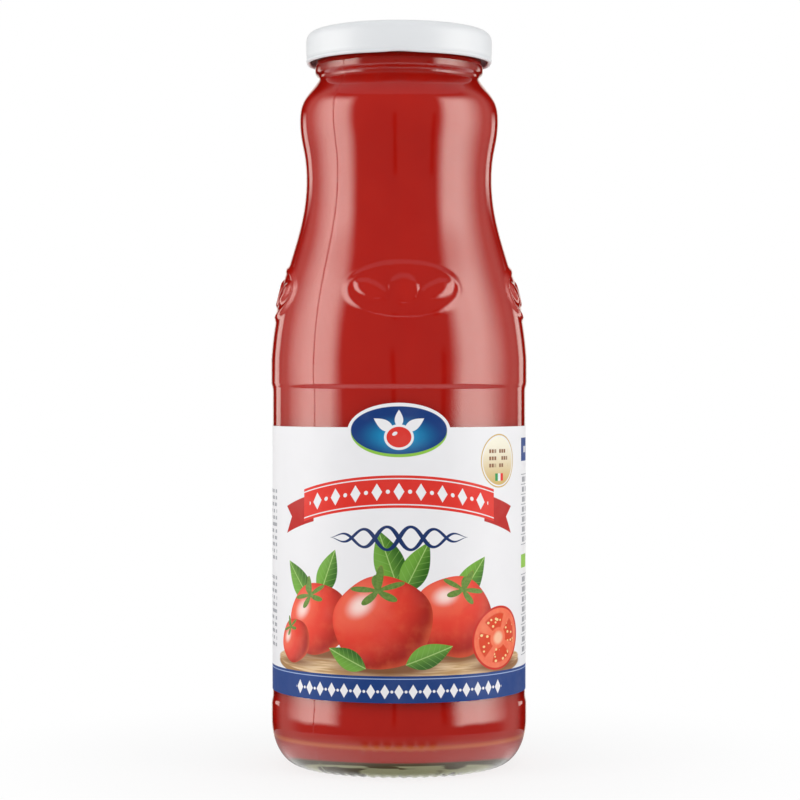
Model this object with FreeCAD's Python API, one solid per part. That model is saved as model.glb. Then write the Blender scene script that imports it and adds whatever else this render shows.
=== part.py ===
import FreeCAD, Part
import os

Vector = FreeCAD.Vector

# A glass bottle of sieved tomatoes with a twist-off lid and a wrap-round paper label.
# Sizes are in millimetres and angles in degrees. The bottle stands on z = 0 with its axis on z,
# and its front faces -y. Heights named "..._BELOW_TOP" are measured down from the top of the lid.

# Overall
TOTAL_HEIGHT = 222.0
BODY_DIAMETER = 77.7

# Base of the bottle
CONTACT_RADIUS = 30.0
CONTACT_WIDTH = 2.5
HEEL_HEIGHT = 13.7
PUNT_RISE = 3.5
FLOOR_THICKNESS = 4.0
FLOOR_LOW_POINT = 5.2
FLOOR_LOW_RADIUS = 25.0
INNER_HEEL_TOP = 17.0

# Body: two raised bands guard the recessed panel that carries the label
LOWER_BAND_TOP = 18.0
PANEL_BOTTOM = 21.2
PANEL_TOP_BELOW_TOP = 109.2
UPPER_BAND_BELOW_TOP = 106.1
SHOULDER_BELOW_TOP = 99.5
PANEL_RECESS = 0.48
LOWER_BAND_INSET = 0.12
GLASS_WALL = 2.3

# Shoulder and neck
WAIST_DIAMETER = 56.4
WAIST_BELOW_TOP = 45.0
SHOULDER_LEAN = 0.06
SHOULDER_REACH = 25.5
WAIST_REACH = 18.6
SWELL_DIAMETER = 60.3
SWELL_BELOW_TOP = 27.0
SWELL_RISE = 9.0
SWELL_REACH = 7.3
CROWN_REACH = 6.9
CROWN_FOOT_DROP = 0.5
NECK_BELOW_TOP = 14.5
NECK_FLARE = 3.1
NECK_DIP = 5.0
BEAD_BELOW_TOP = 11.5
BEAD_HEIGHT = 1.4
BEAD_PROUD = 0.5
NECK_SET_IN = 0.8
FINISH_WALL = 2.9
RIM_ROUND = 1.1

# Twist-off lid, pressed from sheet
LID_DIAMETER = 56.5
LID_HEIGHT = 9.8
LID_SHEET = 0.3
LID_CORNER = 2.0
LID_CURL_RADIUS = 0.65
LID_CURL_PROUD = 0.2
LID_OVER_FINISH = 2.95
LID_PANEL_DROP = 0.7
LID_PANEL_CLEARANCE = 0.4
LID_PANEL_RAMP = 1.2
BUTTON_DIAMETER = 19.0
BUTTON_RISE = 0.35

# Contents
FILL_BELOW_TOP = 9.0

# Paper label with a tab that rises above its top edge at the front
LABEL_THICKNESS = 0.12
LABEL_ABOVE_PANEL_BOTTOM = 1.7
LABEL_BELOW_PANEL_TOP = 10.3
TAB_WIDTH = 30.6
TAB_HEIGHT = 16.6
TAB_RISE = 7.1

# Relief on the shoulder: an oval pad with a fruit between two leaves, on each quarter
PAD_COUNT = 4
PAD_TURN = 2.2
PAD_WIDTH = 35.0
PAD_HEIGHT = 16.0
PAD_BELOW_TOP = 79.5
PAD_PROUD = 0.5
MOTIF_PROUD = 0.8
FRUIT_DIAMETER = 8.0
LEAF_LENGTH = 9.0
LEAF_WIDTH = 3.6
LEAF_OFFSET = 9.6
LEAF_TILT = 24.0

# Small raised dots in a row on the heel, as a mould carries
HEEL_DOT_COUNT = 7
HEEL_DOT_RADIUS = 0.8
HEEL_DOT_SUNK = 0.7
HEEL_DOT_HEIGHT = 10.5
HEEL_DOT_STEP = 5.0

# Shape of a quarter ellipse drawn as a Bezier curve
QUARTER_HANDLE = 0.5523

# Radii and heights that follow from the sizes above
BODY_RADIUS = BODY_DIAMETER / 2
PANEL_RADIUS = BODY_RADIUS - PANEL_RECESS
LOWER_BAND_RADIUS = BODY_RADIUS - LOWER_BAND_INSET
WAIST_RADIUS = WAIST_DIAMETER / 2
SWELL_RADIUS = SWELL_DIAMETER / 2
LID_RADIUS = LID_DIAMETER / 2
FINISH_RADIUS = LID_RADIUS - LID_SHEET - LID_OVER_FINISH
NECK_RADIUS = FINISH_RADIUS - NECK_SET_IN
BEAD_RADIUS = FINISH_RADIUS + BEAD_PROUD
BORE_RADIUS = FINISH_RADIUS - FINISH_WALL
PANEL_TOP = TOTAL_HEIGHT - PANEL_TOP_BELOW_TOP
UPPER_BAND_BOTTOM = TOTAL_HEIGHT - UPPER_BAND_BELOW_TOP
SHOULDER_HEIGHT = TOTAL_HEIGHT - SHOULDER_BELOW_TOP
WAIST_HEIGHT = TOTAL_HEIGHT - WAIST_BELOW_TOP
SWELL_HEIGHT = TOTAL_HEIGHT - SWELL_BELOW_TOP
NECK_HEIGHT = TOTAL_HEIGHT - NECK_BELOW_TOP
BEAD_HEIGHT_MIDDLE = TOTAL_HEIGHT - BEAD_BELOW_TOP
RIM_HEIGHT = TOTAL_HEIGHT - LID_SHEET
FILL_HEIGHT = TOTAL_HEIGHT - FILL_BELOW_TOP
PAD_MIDDLE = TOTAL_HEIGHT - PAD_BELOW_TOP
LABEL_BOTTOM = PANEL_BOTTOM + LABEL_ABOVE_PANEL_BOTTOM
LABEL_TOP = PANEL_TOP - LABEL_BELOW_PANEL_TOP
TAB_TOP = LABEL_TOP + TAB_RISE

AXIS_FOOT = Vector(0, 0, 0)
AXIS = Vector(0, 0, 1)
CROSSWISE = Vector(1, 0, 0)


def at(radius, height):
    """A point of an outline that is turned round the axis."""
    return Vector(radius, 0, height)


def line(start, end):
    return Part.LineSegment(start, end).toShape()


def curve(*poles):
    bezier = Part.BezierCurve()
    bezier.setPoles(list(poles))
    return bezier.toShape()


def upright_then_level(start, end):
    """A quarter ellipse that leaves start along the axis and reaches end square to it."""
    rise = QUARTER_HANDLE * (end.z - start.z)
    run = QUARTER_HANDLE * (start.x - end.x)
    return curve(start, at(start.x, start.z + rise), at(end.x + run, end.z), end)


def level_then_upright(start, end):
    """A quarter ellipse that leaves start square to the axis and reaches end along it."""
    run = QUARTER_HANDLE * (end.x - start.x)
    rise = QUARTER_HANDLE * (end.z - start.z)
    return curve(start, at(start.x + run, start.z), at(end.x, end.z - rise), end)


def upright_step(start, end):
    """A soft step that is parallel to the axis at both ends."""
    middle = (start.z + end.z) / 2
    return curve(start, at(start.x, middle), at(end.x, middle), end)


def level_step(start, end):
    """A soft step that is square to the axis at both ends."""
    middle = (start.x + end.x) / 2
    return curve(start, at(middle, start.z), at(middle, end.z), end)


def turned(edges):
    """The solid that a closed outline sweeps when it is turned round the axis."""
    face = Part.Face(Part.Wire(edges))
    return face.revolve(AXIS_FOOT, AXIS, 360)


def shoulder_curve(start_radius, waist_radius):
    """The long shoulder, from the upper band in to the waist."""
    start = at(start_radius, SHOULDER_HEIGHT)
    waist = at(waist_radius, WAIST_HEIGHT)
    leaning = at(start.x - SHOULDER_LEAN * SHOULDER_REACH, start.z + SHOULDER_REACH)
    return curve(start, leaning, at(waist.x, waist.z - WAIST_REACH), waist)


def neck_curves(wall):
    """Waist, swell and crown of the neck, set in from the outside by a wall."""
    waist = at(WAIST_RADIUS - wall, WAIST_HEIGHT)
    swell = at(SWELL_RADIUS - wall, SWELL_HEIGHT)
    foot = at(NECK_RADIUS - wall, NECK_HEIGHT - wall * CROWN_FOOT_DROP)
    return [
        curve(waist, at(waist.x, waist.z + SWELL_RISE), at(swell.x, swell.z - SWELL_REACH), swell),
        curve(swell, at(swell.x, swell.z + CROWN_REACH), at(foot.x + NECK_FLARE, foot.z - NECK_DIP), foot),
    ]


def outer_form():
    """The bottle's outside as a solid, from the punt in the base to the rim of the mouth."""
    contact_inner = CONTACT_RADIUS - CONTACT_WIDTH
    bead_low = BEAD_HEIGHT_MIDDLE - BEAD_HEIGHT / 2
    bead_high = BEAD_HEIGHT_MIDDLE + BEAD_HEIGHT / 2
    rim_outer = FINISH_RADIUS - RIM_ROUND
    centre = at(0, PUNT_RISE)
    edges = [
        level_step(centre, at(contact_inner, 0)),
        line(at(contact_inner, 0), at(CONTACT_RADIUS, 0)),
        level_then_upright(at(CONTACT_RADIUS, 0), at(LOWER_BAND_RADIUS, HEEL_HEIGHT)),
        line(at(LOWER_BAND_RADIUS, HEEL_HEIGHT), at(LOWER_BAND_RADIUS, LOWER_BAND_TOP)),
        upright_step(at(LOWER_BAND_RADIUS, LOWER_BAND_TOP), at(PANEL_RADIUS, PANEL_BOTTOM)),
        line(at(PANEL_RADIUS, PANEL_BOTTOM), at(PANEL_RADIUS, PANEL_TOP)),
        upright_step(at(PANEL_RADIUS, PANEL_TOP), at(BODY_RADIUS, UPPER_BAND_BOTTOM)),
        line(at(BODY_RADIUS, UPPER_BAND_BOTTOM), at(BODY_RADIUS, SHOULDER_HEIGHT)),
        shoulder_curve(BODY_RADIUS, WAIST_RADIUS),
    ]
    edges += neck_curves(0)
    edges += [
        upright_step(at(NECK_RADIUS, NECK_HEIGHT), at(BEAD_RADIUS, bead_low)),
        line(at(BEAD_RADIUS, bead_low), at(BEAD_RADIUS, bead_high)),
        upright_step(at(BEAD_RADIUS, bead_high), at(FINISH_RADIUS, bead_high + BEAD_HEIGHT)),
        line(at(FINISH_RADIUS, bead_high + BEAD_HEIGHT), at(FINISH_RADIUS, RIM_HEIGHT - RIM_ROUND)),
        upright_then_level(at(FINISH_RADIUS, RIM_HEIGHT - RIM_ROUND), at(rim_outer, RIM_HEIGHT)),
        line(at(rim_outer, RIM_HEIGHT), at(0, RIM_HEIGHT)),
        line(at(0, RIM_HEIGHT), centre),
    ]
    return turned(edges)


def cavity_form():
    """The bottle's inside as a solid, from the domed floor to the rim of the mouth."""
    centre = at(0, PUNT_RISE + FLOOR_THICKNESS)
    low = at(FLOOR_LOW_RADIUS, FLOOR_LOW_POINT)
    side = PANEL_RADIUS - GLASS_WALL
    neck = neck_curves(GLASS_WALL)
    bore_foot = neck[-1].Vertexes[-1].Point
    bore_start = at(BORE_RADIUS, BEAD_HEIGHT_MIDDLE)
    edges = [
        level_step(centre, low),
        level_then_upright(low, at(side, INNER_HEEL_TOP)),
        line(at(side, INNER_HEEL_TOP), at(side, SHOULDER_HEIGHT)),
        shoulder_curve(side, WAIST_RADIUS - GLASS_WALL),
    ]
    edges += neck
    edges += [
        upright_step(bore_foot, bore_start),
        line(bore_start, at(BORE_RADIUS, RIM_HEIGHT)),
        line(at(BORE_RADIUS, RIM_HEIGHT), at(0, RIM_HEIGHT)),
        line(at(0, RIM_HEIGHT), centre),
    ]
    return turned(edges)


def oval_prism(width, height, across, up, tilt, depth):
    """An upright prism with an oval face, from the axis out to the front."""
    oval = Part.Ellipse(AXIS_FOOT, width / 2, height / 2)
    prism = Part.Face(Part.Wire(oval.toShape())).extrude(Vector(0, 0, depth))
    prism.rotate(AXIS_FOOT, AXIS, tilt)
    prism.rotate(AXIS_FOOT, CROSSWISE, 90)
    prism.translate(Vector(across, 0, up))
    return prism


def shoulder_grown(proud):
    """The shoulder as a solid that stands proud of the glass all round."""
    start = at(BODY_RADIUS + proud, SHOULDER_HEIGHT)
    waist = at(WAIST_RADIUS + proud, WAIST_HEIGHT)
    return turned([
        shoulder_curve(start.x, waist.x),
        line(waist, at(0, waist.z)),
        line(at(0, waist.z), at(0, start.z)),
        line(at(0, start.z), start),
    ])


def shoulder_relief():
    """The raised pads with their fruit and leaves, one on each quarter of the shoulder."""
    pad = oval_prism(PAD_WIDTH, PAD_HEIGHT, 0, PAD_MIDDLE, 0, BODY_DIAMETER)
    motif = [oval_prism(FRUIT_DIAMETER, FRUIT_DIAMETER, 0, PAD_MIDDLE, 0, BODY_DIAMETER)]
    for side in (-1, 1):
        motif.append(oval_prism(
            LEAF_LENGTH, LEAF_WIDTH, side * LEAF_OFFSET, PAD_MIDDLE, side * LEAF_TILT, BODY_DIAMETER))
    relief = [pad.common(shoulder_grown(PAD_PROUD))]
    relief += [shape.common(shoulder_grown(MOTIF_PROUD)) for shape in motif]
    return spaced_round(relief, PAD_COUNT)


def spaced_round(shapes, count):
    """Copies of the front shapes, evenly spaced round the axis and turned to the mould's line."""
    copies = []
    for index in range(count):
        for shape in shapes:
            turned_copy = shape.copy()
            turned_copy.rotate(AXIS_FOOT, AXIS, PAD_TURN + index * 360 / count)
            copies.append(turned_copy)
    return copies


def heel_dots():
    """The row of low dots on the heel, under the front of the label."""
    dots = []
    reach = LOWER_BAND_RADIUS - HEEL_DOT_SUNK
    for index in range(HEEL_DOT_COUNT):
        dot = Part.makeSphere(HEEL_DOT_RADIUS, Vector(0, -reach, HEEL_DOT_HEIGHT))
        dot.rotate(AXIS_FOOT, AXIS, (index - (HEEL_DOT_COUNT - 1) / 2) * HEEL_DOT_STEP)
        dots.append(dot)
    return dots


def make_glass_bottle(cavity):
    form = outer_form()
    for raised in shoulder_relief() + heel_dots():
        form = form.fuse(raised)
    return form.cut(cavity).removeSplitter()


def make_passata(cavity):
    up_to_level = Part.makeCylinder(BODY_RADIUS, FILL_HEIGHT)
    return cavity.common(up_to_level)


def lid_section(inset):
    """One face of the lid's sheet, from the middle of the button down to the foot of the skirt."""
    top = TOTAL_HEIGHT - inset
    panel = top - LID_PANEL_DROP
    radius = LID_RADIUS - inset
    corner = LID_CORNER - inset
    panel_edge = BORE_RADIUS - LID_PANEL_CLEARANCE - LID_PANEL_RAMP
    button = BUTTON_DIAMETER / 2
    foot = TOTAL_HEIGHT - LID_HEIGHT + LID_CURL_RADIUS
    return [
        level_step(at(0, panel + BUTTON_RISE), at(button, panel)),
        line(at(button, panel), at(panel_edge, panel)),
        level_step(at(panel_edge, panel), at(panel_edge + LID_PANEL_RAMP, top)),
        line(at(panel_edge + LID_PANEL_RAMP, top), at(radius - corner, top)),
        level_then_upright(at(radius - corner, top), at(radius, top - corner)),
        line(at(radius, top - corner), at(radius, foot)),
    ]


def lid_core(inset):
    """All that lies under one face of the lid's sheet, as a solid."""
    edges = lid_section(inset)
    crown = edges[0].Vertexes[0].Point
    foot = edges[-1].Vertexes[-1].Point
    edges += [line(foot, at(0, foot.z)), line(at(0, foot.z), crown)]
    return turned(edges)


def make_lid():
    curl_radius = LID_RADIUS + LID_CURL_PROUD - LID_CURL_RADIUS
    curl_height = TOTAL_HEIGHT - LID_HEIGHT + LID_CURL_RADIUS
    curl = Part.makeTorus(curl_radius, LID_CURL_RADIUS, Vector(0, 0, curl_height))
    return lid_core(0).cut(lid_core(LID_SHEET)).fuse(curl).removeSplitter()


def paper_ring(bottom, top):
    """A ring of the label's paper, lying on the glass of the panel."""
    outside = Part.makeCylinder(PANEL_RADIUS + LABEL_THICKNESS, top - bottom, at(0, bottom))
    inside = Part.makeCylinder(PANEL_RADIUS, top - bottom, at(0, bottom))
    return outside.cut(inside)


def make_label():
    tab_middle = TAB_TOP - TAB_HEIGHT / 2
    outline = oval_prism(TAB_WIDTH, TAB_HEIGHT, 0, tab_middle, 0, BODY_DIAMETER)
    tab = paper_ring(LABEL_TOP, TAB_TOP).common(outline)
    return paper_ring(LABEL_BOTTOM, LABEL_TOP).fuse(tab).removeSplitter()


def main():
    os.makedirs("parts", exist_ok=True)
    cavity = cavity_form()
    nodes = {
        "glass_bottle": make_glass_bottle(cavity),
        "passata": make_passata(cavity),
        "lid": make_lid(),
        "label": make_label(),
    }
    for name, shape in nodes.items():
        solid = shape.Solids[0]
        print(name, len(shape.Solids), solid.isValid(), round(solid.Volume / 1000, 2), "cm3")
        solid.exportStep("parts/" + name + ".step")
    print("room inside", round(cavity.Volume / 1000, 1), "ml")


main()
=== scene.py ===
import math

import bpy
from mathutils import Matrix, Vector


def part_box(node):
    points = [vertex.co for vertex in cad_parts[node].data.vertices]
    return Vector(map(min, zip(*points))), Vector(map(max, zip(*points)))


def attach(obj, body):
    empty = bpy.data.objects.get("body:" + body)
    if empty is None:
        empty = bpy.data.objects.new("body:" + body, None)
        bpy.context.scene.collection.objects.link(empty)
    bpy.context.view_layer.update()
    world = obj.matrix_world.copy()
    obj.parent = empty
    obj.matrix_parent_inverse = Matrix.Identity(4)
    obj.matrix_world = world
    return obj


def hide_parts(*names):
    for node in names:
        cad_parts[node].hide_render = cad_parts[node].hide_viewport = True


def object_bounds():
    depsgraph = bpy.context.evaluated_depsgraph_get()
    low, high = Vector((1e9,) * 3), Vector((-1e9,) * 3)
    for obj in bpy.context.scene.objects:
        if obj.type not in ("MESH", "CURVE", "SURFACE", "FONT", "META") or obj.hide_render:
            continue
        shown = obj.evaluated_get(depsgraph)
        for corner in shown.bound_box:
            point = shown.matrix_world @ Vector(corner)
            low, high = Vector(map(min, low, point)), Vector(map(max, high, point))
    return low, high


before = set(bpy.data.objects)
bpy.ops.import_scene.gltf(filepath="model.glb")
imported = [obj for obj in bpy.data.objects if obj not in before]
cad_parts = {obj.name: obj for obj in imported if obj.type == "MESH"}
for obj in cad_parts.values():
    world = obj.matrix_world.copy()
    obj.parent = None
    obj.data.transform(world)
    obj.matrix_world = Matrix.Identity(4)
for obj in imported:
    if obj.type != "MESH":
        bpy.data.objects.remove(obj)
cad_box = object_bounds()

# ---------------------------------------------------------------------------------------------
# Bottle
# Clear glass with a faint green cast, blown in a two-part mould: a knurled bearing ring, a rounded
# heel, two bands that guard the label's panel, a long shoulder with raised pads, and a swollen neck.

LID_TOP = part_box("lid")[1][2]
BODY_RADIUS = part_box("glass_bottle")[1][0]
RIM_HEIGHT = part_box("glass_bottle")[1][2]

PANEL_RADIUS = BODY_RADIUS - 0.00048
LOWER_BAND_RADIUS = BODY_RADIUS - 0.00012
CONTACT_RADIUS = 0.030
CONTACT_WIDTH = 0.0025
PUNT_RISE = 0.0035
HEEL_HEIGHT = 0.0137
LOWER_BAND_TOP = 0.018
PANEL_BOTTOM = 0.0212
PANEL_TOP = LID_TOP - 0.1092
UPPER_BAND_BOTTOM = LID_TOP - 0.1061
SHOULDER_HEIGHT = LID_TOP - 0.0995
WAIST_RADIUS = 0.0282
WAIST_HEIGHT = LID_TOP - 0.045
SWELL_RADIUS = 0.03015
SWELL_HEIGHT = LID_TOP - 0.027
NECK_RADIUS = 0.0242
NECK_HEIGHT = LID_TOP - 0.0145
BEAD_RADIUS = 0.0255
BEAD_LOW = LID_TOP - 0.0122
BEAD_HIGH = LID_TOP - 0.0108
FINISH_RADIUS = 0.025
FINISH_LOW = BEAD_HIGH + 0.0014
RIM_ROUND = 0.0011
BORE_RADIUS = 0.0221
GLASS_WALL = 0.0023
FLOOR_CENTRE_HEIGHT = 0.0075
FLOOR_LOW_RADIUS = 0.025
FLOOR_LOW_HEIGHT = 0.0052
INNER_HEEL_TOP = 0.017
GLASS_STEPS = 384

# Lengths of the handles that shape the curves. The last one makes a quarter of an ellipse.
SHOULDER_LEAN = 0.00153
SHOULDER_RISE = 0.0255
WAIST_DROP = 0.0186
WAIST_RISE = 0.009
SWELL_DROP = 0.0073
SWELL_RISE = 0.0069
NECK_SPREAD = 0.0031
NECK_DROP = 0.005
QUARTER = 0.5523


def bend(start, start_handle, end_handle, end, steps):
    """Points of a Bezier curve after its start, up to its end."""
    points = []
    for step in range(1, steps + 1):
        t = step / steps
        weights = ((1 - t) ** 3, 3 * (1 - t) ** 2 * t, 3 * (1 - t) * t * t, t ** 3)
        poles = (start, start_handle, end_handle, end)
        points.append(tuple(sum(w * p[axis] for w, p in zip(weights, poles)) for axis in (0, 1)))
    return points


def quarter_up(start, end, steps):
    """A quarter ellipse that leaves start level and reaches end upright."""
    across, up = end[0] - start[0], end[1] - start[1]
    return bend(start, (start[0] + QUARTER * across, start[1]), (end[0], end[1] - QUARTER * up), end, steps)


def quarter_level(start, end, steps):
    """A quarter ellipse that leaves start upright and reaches end level."""
    return [start] + quarter_up(end, start, steps)[-2::-1] + [end]


def step_up(start, end, steps):
    """A soft step that is upright at both ends."""
    middle = (start[1] + end[1]) / 2
    return bend(start, (start[0], middle), (end[0], middle), end, steps)


def step_level(start, end, steps):
    """A soft step that is level at both ends."""
    middle = (start[0] + end[0]) / 2
    return bend(start, (middle, start[1]), (middle, end[1]), end, steps)


def run(start, end, steps):
    """Evenly spaced points on a straight line, after its start."""
    (across, up), (last_across, last_up) = start, end
    shares = [step / steps for step in range(1, steps + 1)]
    return [(across + (last_across - across) * share, up + (last_up - up) * share) for share in shares]


def shoulder(side, waist, steps):
    """The long shoulder, from the upper band in to the waist."""
    return bend((side, SHOULDER_HEIGHT), (side - SHOULDER_LEAN, SHOULDER_HEIGHT + SHOULDER_RISE),
                (waist, WAIST_HEIGHT - WAIST_DROP), (waist, WAIST_HEIGHT), steps)


def neck(wall, steps):
    """Waist, swell and crown of the neck, set in from the outside by a wall."""
    waist = (WAIST_RADIUS - wall, WAIST_HEIGHT)
    swell = (SWELL_RADIUS - wall, SWELL_HEIGHT)
    foot = (NECK_RADIUS - wall, NECK_HEIGHT - wall * 0.5)
    rise = bend(waist, (waist[0], waist[1] + WAIST_RISE), (swell[0], swell[1] - SWELL_DROP), swell, steps)
    crown = bend(swell, (swell[0], swell[1] + SWELL_RISE), (foot[0] + NECK_SPREAD, foot[1] - NECK_DROP),
                 foot, steps)
    return rise + crown


def inside(out, low_steps, steps):
    """The inside of the glass, from the middle of its floor to the bore, moved a little into the wall."""
    centre = (0, FLOOR_CENTRE_HEIGHT - out)
    low = (FLOOR_LOW_RADIUS, FLOOR_LOW_HEIGHT - out)
    side = PANEL_RADIUS - GLASS_WALL + out
    points = [centre] + step_level(centre, low, low_steps)
    points += quarter_up(low, (side, INNER_HEEL_TOP), steps)
    points += run((side, INNER_HEEL_TOP), (side, SHOULDER_HEIGHT), 12)
    points += shoulder(side, WAIST_RADIUS - GLASS_WALL + out, steps)
    return points + neck(GLASS_WALL - out, steps // 2)


def lathe(name, outline, steps):
    """Turns an outline of (radius, height) points round the z axis into a closed mesh."""
    bpy.ops.object.select_all(action="DESELECT")
    bpy.ops.mesh.primitive_plane_add(size=0.001, location=(outline[0][0], 0, outline[0][1]))
    piece = bpy.context.object
    piece.name = name
    bpy.ops.object.mode_set(mode="EDIT")
    bpy.ops.mesh.select_all(action="SELECT")
    bpy.ops.mesh.merge(type="CENTER")
    for (radius, height), (next_radius, next_height) in zip(outline, outline[1:]):
        move = (next_radius - radius, 0, next_height - height)
        bpy.ops.mesh.extrude_region_move(TRANSFORM_OT_translate={"value": move})
    bpy.ops.object.mode_set(mode="OBJECT")
    bpy.ops.object.transform_apply(location=True, rotation=False, scale=False)
    bpy.ops.object.mode_set(mode="EDIT")
    bpy.ops.mesh.select_all(action="SELECT")
    bpy.ops.mesh.spin(steps=steps, angle=math.tau, center=(0, 0, 0), axis=(0, 0, 1))
    bpy.ops.mesh.select_all(action="SELECT")
    bpy.ops.mesh.remove_doubles(threshold=2e-6)
    bpy.ops.mesh.normals_make_consistent(inside=False)
    bpy.ops.object.mode_set(mode="OBJECT")
    bpy.ops.object.shade_smooth()
    return piece


outline = [(0, PUNT_RISE)]
outline += step_level((0, PUNT_RISE), (CONTACT_RADIUS - CONTACT_WIDTH, 0), 10)
outline += run((CONTACT_RADIUS - CONTACT_WIDTH, 0), (CONTACT_RADIUS, 0), 3)
outline += quarter_up((CONTACT_RADIUS, 0), (LOWER_BAND_RADIUS, HEEL_HEIGHT), 18)
outline += run((LOWER_BAND_RADIUS, HEEL_HEIGHT), (LOWER_BAND_RADIUS, LOWER_BAND_TOP), 2)
outline += step_up((LOWER_BAND_RADIUS, LOWER_BAND_TOP), (PANEL_RADIUS, PANEL_BOTTOM), 6)
outline += run((PANEL_RADIUS, PANEL_BOTTOM), (PANEL_RADIUS, PANEL_TOP), 8)
outline += step_up((PANEL_RADIUS, PANEL_TOP), (BODY_RADIUS, UPPER_BAND_BOTTOM), 6)
outline += run((BODY_RADIUS, UPPER_BAND_BOTTOM), (BODY_RADIUS, SHOULDER_HEIGHT), 3)
outline += shoulder(BODY_RADIUS, WAIST_RADIUS, 92)
outline += neck(0, 14)
outline += step_up((NECK_RADIUS, NECK_HEIGHT), (BEAD_RADIUS, BEAD_LOW), 6)
outline += run((BEAD_RADIUS, BEAD_LOW), (BEAD_RADIUS, BEAD_HIGH), 2)
outline += step_up((BEAD_RADIUS, BEAD_HIGH), (FINISH_RADIUS, FINISH_LOW), 4)
outline += run((FINISH_RADIUS, FINISH_LOW), (FINISH_RADIUS, RIM_HEIGHT - RIM_ROUND), 2)
outline += quarter_level(outline[-1], (FINISH_RADIUS - RIM_ROUND, RIM_HEIGHT), 4)[1:]
outline += run((FINISH_RADIUS - RIM_ROUND, RIM_HEIGHT), (BORE_RADIUS, RIM_HEIGHT), 1)
outline += run((BORE_RADIUS, RIM_HEIGHT), (BORE_RADIUS, BEAD_LOW), 2)
outline += inside(0, 6, 14)[::-1]

PAD_TURN = math.radians(2.2)
PAD_HALF_WIDTH = 0.0175
PAD_HALF_HEIGHT = 0.008
PAD_MIDDLE = LID_TOP - 0.0795
PAD_ROOM = 0.012
PAD_PROUD = 0.0006
PAD_RIM = 0.0016
FIELD_DEPTH = 0.0003
FRUIT_HALF_WIDTH = 0.0042
FRUIT_HALF_HEIGHT = 0.0040
LEAF_OUT = 0.0096
LEAF_HALF_LENGTH = 0.0050
LEAF_HALF_WIDTH = 0.0022
LEAF_TILT = math.radians(24)
DOT_HEIGHT = 0.0095
DOT_ROOM = 0.002
DOT_SPACING = 0.0033
DOT_RADIUS = 0.0009
DOT_PROUD = 0.0004
KNURL_COUNT = 64
KNURL_DEPTH = 0.00035
KNURL_TOP = 0.0016
SEAM_TURN = math.radians(-40)
SEAM_HALF_WIDTH = 0.0003
SEAM_HEIGHT = 0.00007
RIPPLE_DEPTH = 0.00014


def within(across, up, half_width, half_height, edge):
    """1 inside an oval, 0 outside it, with a sloping edge of about the given width."""
    reach = math.hypot(across / half_width, up / half_height)
    t = min(max((1 - reach) * min(half_width, half_height) / edge + 0.5, 0), 1)
    return t * t * (3 - 2 * t)


def pad_relief(across, up):
    """How far a raised pad stands out: an oval with a sunk field that holds a fruit between two leaves."""
    height = PAD_PROUD * within(across, up, PAD_HALF_WIDTH, PAD_HALF_HEIGHT, 0.0010)
    height -= FIELD_DEPTH * within(across, up, PAD_HALF_WIDTH - PAD_RIM, PAD_HALF_HEIGHT - PAD_RIM, 0.0009)
    height += PAD_PROUD * within(across, up, FRUIT_HALF_WIDTH, FRUIT_HALF_HEIGHT, 0.0014)
    for side in (-1, 1):
        tilt = side * LEAF_TILT
        along = (across - side * LEAF_OUT) * math.cos(tilt) + up * math.sin(tilt)
        over = up * math.cos(tilt) - (across - side * LEAF_OUT) * math.sin(tilt)
        height += PAD_PROUD * within(along, over, LEAF_HALF_LENGTH, LEAF_HALF_WIDTH, 0.0011)
    return height


def heel_relief(across, up):
    """The row of small dots that the mould leaves on the heel."""
    column = min(max(round(across / DOT_SPACING), -3), 3) * DOT_SPACING
    return DOT_PROUD * within(across - column, up, DOT_RADIUS, DOT_RADIUS, 0.0007)


glass = lathe("bottle_glass", outline, GLASS_STEPS)
faces_out = [vertex.normal.x * vertex.co.x + vertex.normal.y * vertex.co.y > 0
             for vertex in glass.data.vertices]
for vertex, outer in zip(glass.data.vertices, faces_out):
    radius = math.hypot(vertex.co.x, vertex.co.y)
    if radius < CONTACT_RADIUS - 2 * CONTACT_WIDTH:
        continue
    front_angle = math.atan2(vertex.co.x, -vertex.co.y)
    proud = 0
    if outer and abs(vertex.co.z - PAD_MIDDLE) < PAD_ROOM:
        pad_angle = (front_angle - PAD_TURN + math.pi / 4) % (math.pi / 2) - math.pi / 4
        proud = pad_relief(pad_angle * radius, vertex.co.z - PAD_MIDDLE)
    elif outer and abs(vertex.co.z - DOT_HEIGHT) < DOT_ROOM:
        proud = heel_relief(front_angle * radius, vertex.co.z - DOT_HEIGHT)
    vertex.co.x *= 1 + proud / radius
    vertex.co.y *= 1 + proud / radius
    if vertex.co.z < KNURL_TOP and radius > CONTACT_RADIUS - CONTACT_WIDTH - 0.001:
        groove = 0.5 + 0.5 * math.cos(KNURL_COUNT * front_angle)
        vertex.co.z += KNURL_DEPTH * groove * (1 - vertex.co.z / KNURL_TOP)

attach(glass, "root")
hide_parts("glass_bottle")


def wire(tree, value, socket):
    """Feeds a socket from another one, or sets it to a plain value."""
    if isinstance(value, bpy.types.NodeSocket):
        tree.links.new(value, socket)
    else:
        socket.default_value = value


def figure(tree, operation, *values):
    """The result of a Math node."""
    node = tree.nodes.new("ShaderNodeMath")
    node.operation = operation
    for value, socket in zip(values, node.inputs):
        wire(tree, value, socket)
    return node.outputs[0]


def times(tree, first, second):
    """Two numbers multiplied, such as masks that both have to hold."""
    return figure(tree, "MULTIPLY", first, second)


def minus(tree, first, second):
    """One number less another."""
    return figure(tree, "SUBTRACT", first, second)


def off(tree, value, middle):
    """How far a number is from a middle, either way."""
    return figure(tree, "ABSOLUTE", minus(tree, value, middle))


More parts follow.
